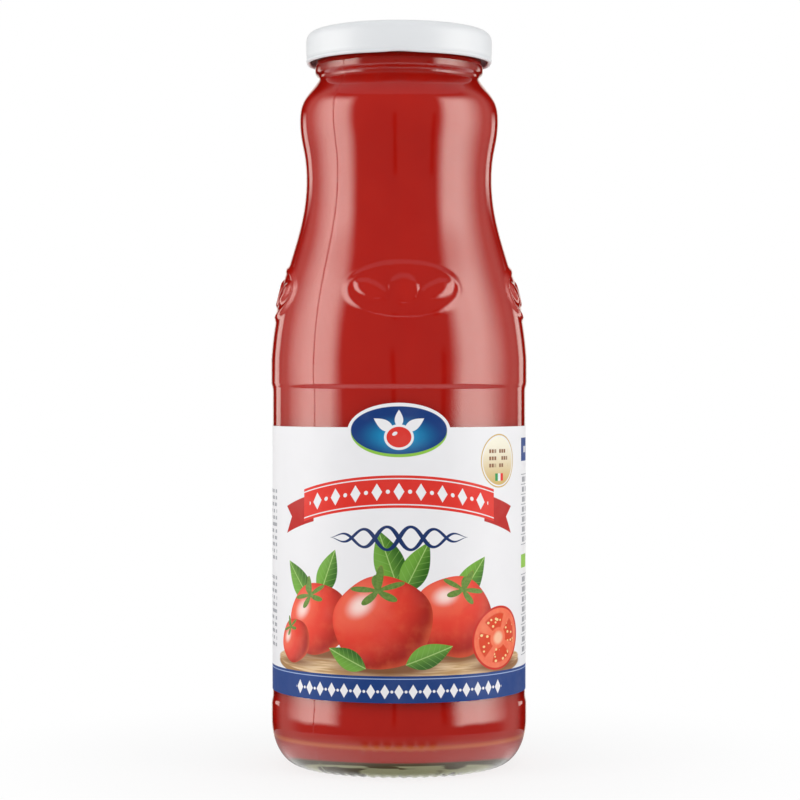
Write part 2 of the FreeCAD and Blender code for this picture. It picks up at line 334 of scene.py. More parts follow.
def vector(tree, operation, *values):
    """The result of a Vector Math node: a number for a length or a dot product, else a vector."""
    node = tree.nodes.new("ShaderNodeVectorMath")
    node.operation = operation
    for value, socket in zip(values, node.inputs):
        wire(tree, value, socket)
    return node.outputs["Value" if operation in ("LENGTH", "DOT_PRODUCT") else "Vector"]


def joined(tree, across, up, deep=0.0):
    """A vector made from its coordinates."""
    node = tree.nodes.new("ShaderNodeCombineXYZ")
    for value, socket in zip((across, up, deep), node.inputs):
        wire(tree, value, socket)
    return node.outputs[0]


def ramp(tree, value, start, end):
    """0 at start and 1 at end, with a soft change between."""
    node = tree.nodes.new("ShaderNodeMapRange")
    node.interpolation_type = "SMOOTHSTEP"
    for source, name in ((value, "Value"), (start, "From Min"), (end, "From Max")):
        wire(tree, source, node.inputs[name])
    return node.outputs["Result"]


def blend(tree, share, first, second):
    """The first colour where share is 0, and the second where it is 1."""
    node = tree.nodes.new("ShaderNodeMix")
    node.data_type = "RGBA"
    for value, index in ((share, 0), (first, 6), (second, 7)):
        wire(tree, value, node.inputs[index])
    return node.outputs[2]


def noise(tree, place, scale, detail=1.0):
    """Cloudy noise, about 0.5 on average."""
    node = tree.nodes.new("ShaderNodeTexNoise")
    node.inputs["Scale"].default_value = scale
    node.inputs["Detail"].default_value = detail
    wire(tree, place, node.inputs["Vector"])
    return node.outputs["Fac"]


def bump(tree, height, distance, normal=None):
    """A normal tilted by a height from 0 to 1 that stands for the given distance."""
    node = tree.nodes.new("ShaderNodeBump")
    node.inputs["Distance"].default_value = distance
    wire(tree, height, node.inputs["Height"])
    if normal:
        wire(tree, normal, node.inputs["Normal"])
    return node.outputs["Normal"]


def finish(piece, name):
    """Gives a piece a new material, and returns its node tree and its Principled shader."""
    material = bpy.data.materials.new(name)
    material.use_nodes = True
    piece.data.materials.append(material)
    return material.node_tree, material.node_tree.nodes["Principled BSDF"]


def object_place(tree):
    """Where a point is on its piece, in metres."""
    return tree.nodes.new("ShaderNodeTexCoord").outputs["Object"]


tree, shader = finish(glass, "clear_glass")
shader.inputs["Base Color"].default_value = (0.95, 0.98, 0.95, 1)
shader.inputs["Roughness"].default_value = 0.0
shader.inputs["IOR"].default_value = 1.5
shader.inputs["Transmission Weight"].default_value = 1.0

# The glass is a little uneven, and carries the line where the two halves of the mould met.
place = object_place(tree)
ripple = noise(tree, vector(tree, "MULTIPLY", place, (1, 1, 0.35)), 90)
off_seam = vector(tree, "DOT_PRODUCT", place, (math.cos(SEAM_TURN), math.sin(SEAM_TURN), 0))
seam = ramp(tree, figure(tree, "ABSOLUTE", off_seam), SEAM_HALF_WIDTH, 0.0)
uneven = bump(tree, ripple, RIPPLE_DEPTH)
wire(tree, bump(tree, seam, SEAM_HEIGHT, uneven), shader.inputs["Normal"])

# Lamps shine straight through the glass on to what it holds.
clear = tree.nodes.new("ShaderNodeBsdfTransparent")
clear.inputs["Color"].default_value = (0.93, 0.96, 0.93, 1)
let_through = tree.nodes.new("ShaderNodeMixShader")
wire(tree, tree.nodes.new("ShaderNodeLightPath").outputs["Is Shadow Ray"], let_through.inputs["Fac"])
wire(tree, shader.outputs["BSDF"], let_through.inputs[1])
wire(tree, clear.outputs["BSDF"], let_through.inputs[2])
wire(tree, let_through.outputs["Shader"], tree.nodes["Material Output"].inputs["Surface"])

# ---------------------------------------------------------------------------------------------
# Passata
# Smooth sieved tomato, thick and deep red, wet against the glass all the way up the neck. It reaches
# just into the wall, so that no film of air shows between the two.

INTO_WALL = 0.00015
FILL_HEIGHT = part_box("passata")[1][2]
TOMATO_RED = (0.49, 0.006, 0.003, 1)
LIGHTER_RED = (0.55, 0.014, 0.006, 1)
# Painted light in the thick heel: darker brown under a glowing orange line.
HEEL_SHADE_BROWN = (0.50, 0.022, 0.008, 1)
HEEL_GLOW_ORANGE = (0.66, 0.15, 0.035, 1)
HEEL_GLOW = 0.0095
# Painted view through the thick base, on the passata's underside: pale green with dark refraction streaks.
SEEN_THROUGH_GREEN = (0.52, 0.52, 0.32, 1)
REFRACTION_BROWN = (0.10, 0.07, 0.025, 1)
BASE_RADIUS = 0.0285
BASE_DARK_RADIUS = 0.0268

outline = [point for point in inside(INTO_WALL, 8, 30) if point[1] < FILL_HEIGHT]
outline += [(BORE_RADIUS + INTO_WALL, BEAD_LOW), (BORE_RADIUS + INTO_WALL, FILL_HEIGHT), (0, FILL_HEIGHT)]
passata = lathe("passata_fill", outline, 192)
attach(passata, "root")
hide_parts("passata")

tree, shader = finish(passata, "tomato")
shader.inputs["Roughness"].default_value = 0.45
shader.inputs["IOR"].default_value = 1.35
shader.inputs["Specular IOR Level"].default_value = 0.05
place = object_place(tree)
red = blend(tree, noise(tree, place, 120, 3), TOMATO_RED, LIGHTER_RED)

# Light gathers in the thick heel, painted here: a painted glowing orange line, and painted darker brown under
# it.
up = vector(tree, "DOT_PRODUCT", place, (0, 0, 1))
from_axis = vector(tree, "LENGTH", vector(tree, "MULTIPLY", place, (1, 1, 0)))
red = blend(tree, ramp(tree, up, HEEL_GLOW + 0.004, HEEL_GLOW + 0.001), red, HEEL_SHADE_BROWN)
line = times(tree, ramp(tree, up, HEEL_GLOW - 0.0008, HEEL_GLOW),
             ramp(tree, up, HEEL_GLOW + 0.0012, HEEL_GLOW))
red = blend(tree, times(tree, line, 0.8), red, HEEL_GLOW_ORANGE)

# Under the food, the passata is painted with the view through the thick green base: a painted see-through
# green, with painted dark streaks and a dark edge where the glass bends the light.
side = vector(tree, "DOT_PRODUCT", place, (1, 0, 0))
turn = figure(tree, "ARCTAN2", side, vector(tree, "DOT_PRODUCT", place, (0, 1, 0)))
polar = joined(tree, times(tree, turn, 2.2), times(tree, from_axis, 260))
refraction_streak = ramp(tree, noise(tree, polar, 1.0, 2), 0.50, 0.60)
refraction_edge = ramp(tree, from_axis, BASE_DARK_RADIUS, BASE_DARK_RADIUS + 0.0008)
painted_base = blend(tree, figure(tree, "MAXIMUM", refraction_streak, refraction_edge), SEEN_THROUGH_GREEN, REFRACTION_BROWN)
under = ramp(tree, from_axis, BASE_RADIUS + 0.0012, BASE_RADIUS)
under = times(tree, under, ramp(tree, up, 0.0125, 0.0115))
wire(tree, blend(tree, under, red, painted_base), shader.inputs["Base Color"])

# ---------------------------------------------------------------------------------------------
# Lid
# Twist-off lid pressed from tinplate and enamelled white: a sunk panel with a button on top, a rounded
# shoulder, a plain skirt, and a rolled lower edge that is pinched into lugs.

LID_RADIUS = 0.02825
LID_SHEET = 0.0003
LID_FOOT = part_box("lid")[0][2]
LID_CORNER = 0.003
PANEL_DROP = 0.0007
PANEL_EDGE = BORE_RADIUS - 0.0016
CURL_RADIUS = 0.00065
SKIRT_FOOT = LID_FOOT + 0.0021
BUTTON_RADIUS = 0.0095
BUTTON_RISE = 0.00035
LUG_COUNT = 4
LUG_HEIGHT = 0.0025
LUG_LIFT = 0.0003
LUG_PINCH = 0.012


def lid_face(inset):
    """One face of the lid's sheet, from the middle of the button down to the foot of the skirt."""
    top = LID_TOP - inset
    panel = top - PANEL_DROP
    radius = LID_RADIUS - inset
    corner = LID_CORNER - inset
    points = [(0, panel + BUTTON_RISE)]
    points += step_level(points[-1], (BUTTON_RADIUS, panel), 10)
    points += run(points[-1], (PANEL_EDGE, panel), 4)
    points += step_level(points[-1], (PANEL_EDGE + 0.0012, top), 6)
    points += run(points[-1], (radius - corner, top), 2)
    points += quarter_up((radius - corner, top), (radius, top - corner), 8)
    return points


curl_middle = (LID_RADIUS + 0.0002 - CURL_RADIUS, LID_FOOT + CURL_RADIUS)
outline = lid_face(0)
outline += run(outline[-1], (LID_RADIUS, SKIRT_FOOT), 3)
for turn in range(0, 13):
    angle = math.radians(60 - turn * 25)
    outline.append((curl_middle[0] + CURL_RADIUS * math.cos(angle),
                    curl_middle[1] + CURL_RADIUS * math.sin(angle)))
outline += [(LID_RADIUS - LID_SHEET, SKIRT_FOOT)] + lid_face(LID_SHEET)[::-1]
lid = lathe("lid_shell", outline, 192)
for vertex in lid.data.vertices:
    low = min(max((LID_FOOT + LUG_HEIGHT - vertex.co.z) / LUG_HEIGHT, 0), 1)
    pinch = max(math.cos(LUG_COUNT * math.atan2(vertex.co.y, vertex.co.x)), 0) ** 6
    vertex.co.z += LUG_LIFT * low * pinch
    vertex.co.x *= 1 - LUG_PINCH * low * pinch
    vertex.co.y *= 1 - LUG_PINCH * low * pinch
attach(lid, "root")
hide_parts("lid")

tree, shader = finish(lid, "white_enamel")
shader.inputs["Roughness"].default_value = 0.45
shader.inputs["Specular IOR Level"].default_value = 0.25
shader.inputs["Coat Weight"].default_value = 0.1
shader.inputs["Coat Roughness"].default_value = 0.12
place = object_place(tree)
enamel = blend(tree, noise(tree, place, 60), (0.78, 0.80, 0.82, 1), (0.80, 0.82, 0.84, 1))
wire(tree, enamel, shader.inputs["Base Color"])
wire(tree, bump(tree, noise(tree, place, 1500), 0.00001), shader.inputs["Normal"])

# ---------------------------------------------------------------------------------------------
# Label
# Coated white paper glued round the recessed panel, with its ends lapped at the back. It is die-cut with
# an oval tab at the front, and printed all round in blue, red, green and gold.

LABEL_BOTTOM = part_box("label")[0][2]
TAB_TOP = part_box("label")[1][2]
LABEL_TOP = TAB_TOP - 0.0071
PAPER = 0.0001
GLUE = 0.00002
TAB_HALF_WIDTH = 0.0153
TAB_HALF_HEIGHT = 0.0083
TAB_STEPS = 24
LAP = 0.005
LAP_RISE = 0.001
LAP_TURN = math.radians(160)
LAY_RADIUS = PANEL_RADIUS + GLUE

sheet_left = -LAY_RADIUS * (math.tau - LAP_TURN)
sheet_right = LAY_RADIUS * LAP_TURN + LAP
tab_middle = TAB_TOP - TAB_HALF_HEIGHT
tab_turn = math.acos((LABEL_TOP - tab_middle) / TAB_HALF_HEIGHT)


def column_tops():
    """The label's top edge, from left to right on the flat sheet: straight, over the tab, and straight."""
    tab_foot = TAB_HALF_WIDTH * math.sin(tab_turn)
    tops = [(x, LABEL_TOP) for x, _ in run((sheet_left, 0), (-tab_foot, 0), 140)]
    for step in range(1, 2 * TAB_STEPS):
        turn = tab_turn * (step / TAB_STEPS - 1)
        tops.append((TAB_HALF_WIDTH * math.sin(turn), tab_middle + TAB_HALF_HEIGHT * math.cos(turn)))
    tops.append((tab_foot, LABEL_TOP))
    tops += [(x, LABEL_TOP) for x, _ in run((tab_foot, 0), (sheet_right, 0), 110)]
    return [(sheet_left, LABEL_TOP)] + tops


tops = column_tops()
bpy.ops.object.select_all(action="DESELECT")
bpy.ops.mesh.primitive_grid_add(x_subdivisions=len(tops) - 1, y_subdivisions=2, size=1)
label = bpy.context.object
label.name = "label_paper"
flat_map = label.data.uv_layers.active
columns = sorted({round(vertex.co.x, 5) for vertex in label.data.vertices})
rows = sorted({round(vertex.co.y, 5) for vertex in label.data.vertices})
for vertex in label.data.vertices:
    x, top = tops[columns.index(round(vertex.co.x, 5))]
    share = rows.index(round(vertex.co.y, 5)) / (len(rows) - 1)
    vertex.co = (x, LABEL_BOTTOM + share * (top - LABEL_BOTTOM), 0)
for loop in label.data.loops:
    flat = label.data.vertices[loop.vertex_index].co
    flat_map.data[loop.index].uv = ((flat.x - sheet_left) / (sheet_right - sheet_left),
                                    (flat.y - LABEL_BOTTOM) / (TAB_TOP - LABEL_BOTTOM))
for vertex in label.data.vertices:
    lapped = min(max((vertex.co.x - LAY_RADIUS * LAP_TURN + LAP_RISE) / LAP_RISE, 0), 1)
    radius = LAY_RADIUS + lapped * (PAPER + GLUE)
    turn = vertex.co.x / LAY_RADIUS
    vertex.co = (radius * math.sin(turn), -radius * math.cos(turn), vertex.co.y)
thicken = label.modifiers.new("paper", "SOLIDIFY")
thicken.thickness = PAPER
thicken.offset = 1
bpy.ops.object.modifier_apply(modifier="paper")
bpy.ops.object.shade_smooth_by_angle(angle=math.radians(40))
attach(label, "root")
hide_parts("label")

# The print is laid out in millimetres, from the middle of the front and the foot of the bottle. Its edges
# are one print dot wide.
PRINT_EDGE = 0.14
NUMBER, PLACE, COLOUR = "NodeSocketFloat", "NodeSocketVector", "NodeSocketColor"


def new_group(name, takes, gives):
    """A shader node group. Returns its tree, what it takes in, and its output sockets."""
    tree = bpy.data.node_groups.new(name, "ShaderNodeTree")
    for socket, kind in takes.items():
        tree.interface.new_socket(socket, in_out="INPUT", socket_type=kind)
    for socket, kind in gives.items():
        tree.interface.new_socket(socket, in_out="OUTPUT", socket_type=kind)
    return tree, tree.nodes.new("NodeGroupInput").outputs, tree.nodes.new("NodeGroupOutput").inputs


def use_group(tree, name, **values):
    """Places a node group, and returns its outputs."""
    node = tree.nodes.new("ShaderNodeGroup")
    node.node_tree = bpy.data.node_groups[name]
    for socket, value in values.items():
        wire(tree, value, node.inputs[socket])
    return node.outputs


def across_and_up(tree, place):
    """The two coordinates of a place on the flat sheet."""
    return vector(tree, "DOT_PRODUCT", place, (1, 0, 0)), vector(tree, "DOT_PRODUCT", place, (0, 1, 0))


def sheet_texture(tree, kind, across, up):
    """A texture node on the flat sheet, with its scale given for each direction, per millimetre."""
    place = tree.nodes.new("ShaderNodeUVMap").outputs["UV"]
    scaled = tree.nodes.new("ShaderNodeMapping")
    size = (sheet_right - sheet_left, TAB_TOP - LABEL_BOTTOM)
    scaled.inputs["Scale"].default_value = (across * size[0] * 1000, up * size[1] * 1000, 1)
    wire(tree, place, scaled.inputs["Vector"])
    node = tree.nodes.new(kind)
    node.inputs["Scale"].default_value = 1.0
    wire(tree, scaled.outputs["Vector"], node.inputs["Vector"])
    return node


def sheet_cloud(tree, across, up):
    """Cloudy noise on the flat sheet."""
    node = sheet_texture(tree, "ShaderNodeTexNoise", across, up)
    node.inputs["Detail"].default_value = 3.0
    return node.outputs["Fac"]


def turned_place(tree, place, middle, turn):
    """The place as seen from a shape's own middle and turn."""
    back = times(tree, turn, -1)
    node = tree.nodes.new("ShaderNodeVectorRotate")
    node.rotation_type = "Z_AXIS"
    for value, socket in ((place, "Vector"), (middle, "Center"), (back, "Angle")):
        wire(tree, value, node.inputs[socket])
    return vector(tree, "SUBTRACT", node.outputs[0], middle)


def chance(tree, across, up):
    """A random number from 0 to 1 for each whole pair of coordinates."""
    cell = figure(tree, "MULTIPLY_ADD", figure(tree, "FLOOR", up), 91.7, figure(tree, "FLOOR", across))
    node = tree.nodes.new("ShaderNodeTexWhiteNoise")
    node.noise_dimensions = "1D"
    wire(tree, cell, node.inputs["W"])
    return node.outputs["Value"]


def sharp(tree, margin, softness=PRINT_EDGE):
    """1 where a margin is above zero and 0 where it is below, with a change as wide as the softness."""
    half = times(tree, softness, 0.5)
    return ramp(tree, margin, times(tree, half, -1), half)


# An oval, with the place inside it that runs from -1 to 1 both ways.
tree, takes, gives = new_group(
    "oval_print", {"Place": PLACE, "Middle": PLACE, "Half": PLACE, "Turn": NUMBER, "Softness": NUMBER},
    {"Mask": NUMBER, "Inside": PLACE})
own = turned_place(tree, takes["Place"], takes["Middle"], takes["Turn"])
inner = vector(tree, "DIVIDE", own, takes["Half"])
half_width, half_height = across_and_up(tree, takes["Half"])
margin = times(tree, minus(tree, 1, vector(tree, "LENGTH", inner)),
               figure(tree, "MINIMUM", half_width, half_height))
wire(tree, sharp(tree, margin, takes["Softness"]), gives["Mask"])
wire(tree, inner, gives["Inside"])

# An upright rectangle.
tree, takes, gives = new_group("bar_print", {"Place": PLACE, "Low": PLACE, "High": PLACE}, {"Mask": NUMBER})
room = vector(tree, "MINIMUM", vector(tree, "SUBTRACT", takes["Place"], takes["Low"]),
              vector(tree, "SUBTRACT", takes["High"], takes["Place"]))
wire(tree, sharp(tree, figure(tree, "MINIMUM", *across_and_up(tree, room))), gives["Mask"])

# Lines of small print, shown as words of plain strokes that spell nothing.
LETTERS_PER_PITCH = 1.9
WORDS_PER_LETTER = 0.22
tree, takes, gives = new_group(
    "small_print", {"Place": PLACE, "Low": PLACE, "High": PLACE, "Pitch": NUMBER}, {"Mask": NUMBER})
own = vector(tree, "SUBTRACT", takes["Place"], takes["Low"])
across, up = across_and_up(tree, vector(tree, "DIVIDE", own, joined(tree, takes["Pitch"], takes["Pitch"], 1)))
height_in_line = off(tree, figure(tree, "FRACT", up), 0.5)
mask = ramp(tree, height_in_line, 0.30, 0.22)
stagger = times(tree, chance(tree, 0, up), 0.5)
letters = times(tree, across, LETTERS_PER_PITCH)
words = figure(tree, "MULTIPLY_ADD", figure(tree, "FLOOR", letters), WORDS_PER_LETTER, stagger)
word_share = figure(tree, "MULTIPLY_ADD", chance(tree, words, up), 0.35, 0.55)
in_word = minus(tree, word_share, figure(tree, "FRACT", words))
mask = times(tree, mask, ramp(tree, in_word, 0, 0.05))
mask = times(tree, mask, ramp(tree, off(tree, figure(tree, "FRACT", letters), 0.5), 0.46, 0.30))
frame_mask = use_group(tree, "bar_print", Place=takes["Place"], Low=takes["Low"], High=takes["High"])["Mask"]
wire(tree, times(tree, mask, frame_mask), gives["Mask"])

# A painted tomato: a lobed round fruit, lit from the upper left, with a star of green sepals and a stalk.
SHADED_RED = (0.33, 0.010, 0.006, 1)
RIPE_RED = (0.76, 0.050, 0.028, 1)
LIT_RED = (0.86, 0.13, 0.075, 1)
MOTTLED_RED = (0.88, 0.20, 0.08, 1)
CREASE_RED = (0.42, 0.012, 0.008, 1)
WARM_RED = (0.80, 0.13, 0.05, 1)
SHINE = (1.0, 0.82, 0.76, 1)
SEPAL_DARK = (0.035, 0.12, 0.012, 1)
SEPAL_LIGHT = (0.22, 0.36, 0.07, 1)
LIGHT_FROM = (-0.48, 0.52, 0.70)
tree, takes, gives = new_group(
    "tomato_print", {"Place": PLACE, "Middle": PLACE, "Radius": NUMBER, "Turn": NUMBER},
    {"Mask": NUMBER, "Colour": COLOUR})
own = turned_place(tree, takes["Place"], takes["Middle"], takes["Turn"])
size = joined(tree, takes["Radius"], times(tree, takes["Radius"], 0.9), 1)
inner = vector(tree, "DIVIDE", own, size)
across, up = across_and_up(tree, inner)
angle = figure(tree, "ARCTAN2", across, up)
five_lobes = figure(tree, "COSINE", times(tree, angle, 5))
reach = figure(tree, "DIVIDE", vector(tree, "LENGTH", inner),
               figure(tree, "MULTIPLY_ADD", five_lobes, 0.02, 1))
fruit = sharp(tree, times(tree, minus(tree, 1, reach), takes["Radius"]))
depth = figure(tree, "MAXIMUM", minus(tree, 1, figure(tree, "POWER", reach, 2)), 0)
facing = joined(tree, across, up, figure(tree, "SQRT", depth))
lit = vector(tree, "DOT_PRODUCT", facing, LIGHT_FROM)
red = blend(tree, ramp(tree, lit, -0.2, 0.75), SHADED_RED, RIPE_RED)
red = blend(tree, ramp(tree, lit, 0.6, 1.0), red, LIT_RED)
mottle = ramp(tree, sheet_cloud(tree, 0.22, 0.22), 0.40, 0.85)
red = blend(tree, times(tree, mottle, 0.22), red, MOTTLED_RED)
near_top = ramp(tree, minus(tree, up, figure(tree, "ABSOLUTE", across)), -0.1, 0.7)
crease = times(tree, ramp(tree, five_lobes, -0.7, -1.0), near_top)
red = blend(tree, times(tree, crease, 0.45), red, CREASE_RED)
back_light = times(tree, ramp(tree, lit, 0.05, -0.55), ramp(tree, reach, 0.75, 0.97))
red = blend(tree, times(tree, back_light, 0.45), red, WARM_RED)
shine = use_group(tree, "oval_print", Place=inner, Middle=(-0.38, 0.42, 0), Half=(0.24, 0.17, 1), Turn=0.6,
                  Softness=0.26)["Mask"]
red = blend(tree, times(tree, shine, 0.85), red, SHINE)
star = vector(tree, "DIVIDE", vector(tree, "SUBTRACT", inner, (0, 0.70, 0)), (0.56, 0.34, 1))
star_angle = figure(tree, "ARCTAN2", *across_and_up(tree, star))
point = figure(tree, "ABSOLUTE", figure(tree, "COSINE", times(tree, star_angle, 2.5)))
star_edge = figure(tree, "MULTIPLY_ADD", figure(tree, "POWER", point, 2.2), 0.82, 0.18)
sepals = ramp(tree, minus(tree, star_edge, vector(tree, "LENGTH", star)), -0.05, 0.05)
stalk = use_group(tree, "oval_print", Place=inner, Middle=(0.05, 0.93, 0), Half=(0.08, 0.30, 1), Turn=-0.25,
                  Softness=0.02)["Mask"]
green = blend(tree, sheet_cloud(tree, 1.2, 1.2), SEPAL_DARK, SEPAL_LIGHT)
leafy = ramp(tree, figure(tree, "MAXIMUM", sepals, stalk), 0.2, 0.7)
wire(tree, blend(tree, leafy, red, green), gives["Colour"])
wire(tree, figure(tree, "MAXIMUM", fruit, leafy), gives["Mask"])

# A painted basil leaf: pointed at both ends, with a pale midrib and side veins.
LEAF_DARK = (0.030, 0.125, 0.010, 1)
LEAF_LIGHT = (0.16, 0.38, 0.045, 1)
VEIN_GREEN = (0.25, 0.48, 0.10, 1)
RIB_GREEN = (0.42, 0.62, 0.20, 1)
tree, takes, gives = new_group(
    "leaf_print", {"Place": PLACE, "Middle": PLACE, "Half": PLACE, "Turn": NUMBER},
    {"Mask": NUMBER, "Colour": COLOUR})
own = turned_place(tree, takes["Place"], takes["Middle"], takes["Turn"])
along, over = across_and_up(tree, vector(tree, "DIVIDE", own, takes["Half"]))
half_width = vector(tree, "DOT_PRODUCT", takes["Half"], (0, 1, 0))
off_rib = figure(tree, "ABSOLUTE", over)
lens = times(tree, minus(tree, 1, figure(tree, "POWER", along, 2)),
             figure(tree, "MAXIMUM", figure(tree, "MULTIPLY_ADD", along, -0.3, 1), 0.1))
inside_leaf = sharp(tree, times(tree, minus(tree, lens, off_rib), half_width))
green = blend(tree, ramp(tree, over, -0.9, 0.7), LEAF_DARK, LEAF_LIGHT)
swept = minus(tree, along, times(tree, off_rib, 0.35))
veins = ramp(tree, off(tree, figure(tree, "FRACT", times(tree, swept, 4)), 0.5), 0.09, 0.02)
green = blend(tree, times(tree, veins, 0.45), green, VEIN_GREEN)
rib = ramp(tree, times(tree, off_rib, half_width), 0.22, 0.08)
green = blend(tree, times(tree, rib, 0.8), green, RIB_GREEN)
wire(tree, green, gives["Colour"])
wire(tree, inside_leaf, gives["Mask"])

# A painted tomato half, cut side forward: skin, flesh, and chambers of jelly with pale seeds.
FLESH_RED = (0.80, 0.085, 0.040, 1)
FLESH_PALE = (0.90, 0.26, 0.13, 1)
HEART = (0.93, 0.52, 0.34, 1)
JELLY = (0.66, 0.050, 0.012, 1)
SEED = (0.90, 0.66, 0.30, 1)
SKIN = (0.55, 0.015, 0.008, 1)
tree, takes, gives = new_group(
    "cut_tomato_print", {"Place": PLACE, "Middle": PLACE, "Half": PLACE, "Turn": NUMBER},
    {"Mask": NUMBER, "Colour": COLOUR})
cut = use_group(tree, "oval_print", Place=takes["Place"], Middle=takes["Middle"], Half=takes["Half"],
                Turn=takes["Turn"], Softness=PRINT_EDGE)
inner = cut["Inside"]
reach = vector(tree, "LENGTH", inner)
four_walls = figure(tree, "COSINE", times(tree, figure(tree, "ARCTAN2", *across_and_up(tree, inner)), 4))
ring = times(tree, ramp(tree, reach, 0.30, 0.36), ramp(tree, reach, 0.80, 0.74))
chamber = times(tree, ring, ramp(tree, four_walls, -0.75, -0.5))
flesh = blend(tree, sheet_cloud(tree, 0.4, 0.4), FLESH_RED, FLESH_PALE)
flesh = blend(tree, ramp(tree, reach, 0.26, 0.12), flesh, HEART)
flesh = blend(tree, chamber, flesh, JELLY)
grain = sheet_texture(tree, "ShaderNodeTexVoronoi", 0.55, 0.75)
seeds = times(tree, ramp(tree, grain.outputs["Distance"], 0.34, 0.26), chamber)
flesh = blend(tree, seeds, flesh, SEED)
wire(tree, blend(tree, ramp(tree, reach, 0.92, 0.95), flesh, SKIN), gives["Colour"])
wire(tree, cut["Mask"], gives["Mask"])

PAPER_WHITE = (0.86, 0.86, 0.88, 1)
NAVY = (0.010, 0.045, 0.20, 1)
DEEP_NAVY = (0.008, 0.030, 0.13, 1)
BADGE_NAVY = (0.006, 0.040, 0.19, 1)
SKY_BLUE = (0.010, 0.33, 0.62, 1)
PALE_BLUE = (0.35, 0.45, 0.70, 1)
LEAF_GREEN = (0.27, 0.56, 0.06, 1)
STRIPE_GREEN = (0.02, 0.28, 0.07, 1)
STRIPE_RED = (0.70, 0.02, 0.02, 1)
BANNER_RED = (0.72, 0.030, 0.020, 1)
TAIL_RED = (0.45, 0.012, 0.010, 1)
GOLD = (0.62, 0.43, 0.13, 1)
PALE_GOLD = (0.92, 0.88, 0.74, 1)
PRINT_BROWN = (0.22, 0.09, 0.04, 1)
PRINT_GREY = (0.22, 0.23, 0.27, 1)
WOOD_DARK = (0.50, 0.30, 0.13, 1)
WOOD_LIGHT = (0.78, 0.58, 0.36, 1)
WOOD_EDGE = (0.36, 0.20, 0.08, 1)
WOOD_SHADE = (0.22, 0.09, 0.035, 1)
PAPER_SHADE = (0.55, 0.54, 0.52, 1)

tree, shader = finish(label, "printed_paper")
shader.inputs["Specular IOR Level"].default_value = 0.15
sheet = tree.nodes.new("ShaderNodeUVMap").outputs["UV"]
in_millimetres = ((sheet_right - sheet_left) * 1000, (TAB_TOP - LABEL_BOTTOM) * 1000, 0)
place = vector(tree, "MULTIPLY_ADD", sheet, in_millimetres, (sheet_left * 1000, LABEL_BOTTOM * 1000, 0))
across, up = across_and_up(tree, place)
printed = PAPER_WHITE


def oval(middle, half, turn=0.0, softness=PRINT_EDGE):
    """An oval on the label: its mask and the place inside it."""
    return use_group(tree, "oval_print", Place=place, Middle=(*middle, 0), Half=(*half, 1), Turn=turn,
                     Softness=softness)


def bar(low, high):
    """The mask of an upright rectangle on the label."""
    return use_group(tree, "bar_print", Place=place, Low=(*low, 0), High=(*high, 0))["Mask"]


def diamonds(along, pitch, off_row, half_height, bead_radius):
    """The mask of a row of diamonds with a bead between each two."""
    off_diamond = off(tree, figure(tree, "FRACT", figure(tree, "MULTIPLY_ADD", along, 1 / pitch, 0.5)), 0.5)
    slope = figure(tree, "MULTIPLY_ADD", off_diamond, 1.6 * pitch, off_row)
    diamond = minus(tree, half_height, slope)
    from_bead = joined(tree, times(tree, minus(tree, 0.5, off_diamond), pitch), off_row)
    bead = minus(tree, bead_radius, vector(tree, "LENGTH", from_bead))
    return sharp(tree, figure(tree, "MAXIMUM", diamond, bead))


def ink(mask, colour):
    """Prints a colour over what is there."""
    global printed
    printed = blend(tree, mask, printed, colour)


def leaf(middle, half, turn, colour=None):
    """Prints a leaf in its own greens, or in one plain colour."""
    green = use_group(tree, "leaf_print", Place=place, Middle=(*middle, 0), Half=(*half, 1), Turn=turn)
    ink(green["Mask"], colour or green["Colour"])


def small_print(low, high, pitch, colour):
    """Prints lines of small print inside a rectangle."""
    lines = use_group(tree, "small_print", Place=place, Low=(*low, 0), High=(*high, 0), Pitch=pitch)
    ink(lines["Mask"], colour)


# The still life at the front: tomatoes and basil on a wooden board.
wood = blend(tree, ramp(tree, sheet_cloud(tree, 0.09, 1.6), 0.35, 0.65), WOOD_DARK, WOOD_LIGHT)
ink(oval((0, 33.0), (45, 5.2))["Mask"], WOOD_EDGE)
ink(oval((0, 34.2), (45, 4.6))["Mask"], wood)
leaf((-33, 57), (8.0, 3.6), 2.3)
leaf((-3, 64), (9.5, 4.4), 1.9)
leaf((5, 62), (8.5, 3.9), 1.1)
leaf((22, 58), (8.5, 3.8), 0.9)
leaf((-22, 60), (7.5, 3.4), 1.2)
for middle, radius, turn in (((-26, 46.5), 11.5, 0.35), ((17, 47.5), 13.0, -0.3), ((-5, 46), 15.0, 0.12),
                             ((-35.5, 39.5), 7.0, 0.5)):
    foot = (middle[0] + 1, middle[1] - radius * 0.86)
    ink(oval(foot, (radius * 0.95, radius * 0.16), 0.0, 2.2)["Mask"], WOOD_SHADE)
    tomato = use_group(tree, "tomato_print", Place=place, Middle=(*middle, 0), Radius=radius, Turn=turn)
    ink(tomato["Mask"], tomato["Colour"])
cut = use_group(tree, "cut_tomato_print", Place=place, Middle=(33, 40.5, 0), Half=(10.5, 9.3, 1), Turn=0.25)
ink(oval((33, 32.6), (10, 2.0), 0.0, 2.0)["Mask"], WOOD_SHADE)
ink(cut["Mask"], cut["Colour"])
leaf((9, 36.5), (7.5, 3.4), 0.35)
leaf((-15.5, 35.5), (6.5, 3.0), 2.7)

# The blue band round the foot, with a row of white diamonds at the front.
ink(bar((-200, LABEL_BOTTOM * 1000 - 1), (200, 30.7)), NAVY)
ink(bar((-200, 29.75), (200, 30.0)), PALE_BLUE)
row = diamonds(across, 4.1, off(tree, up, 26.2), 2.1, 0.42)
ink(times(tree, row, bar((-34.6, 20), (34.6, 40))), PAPER_WHITE)

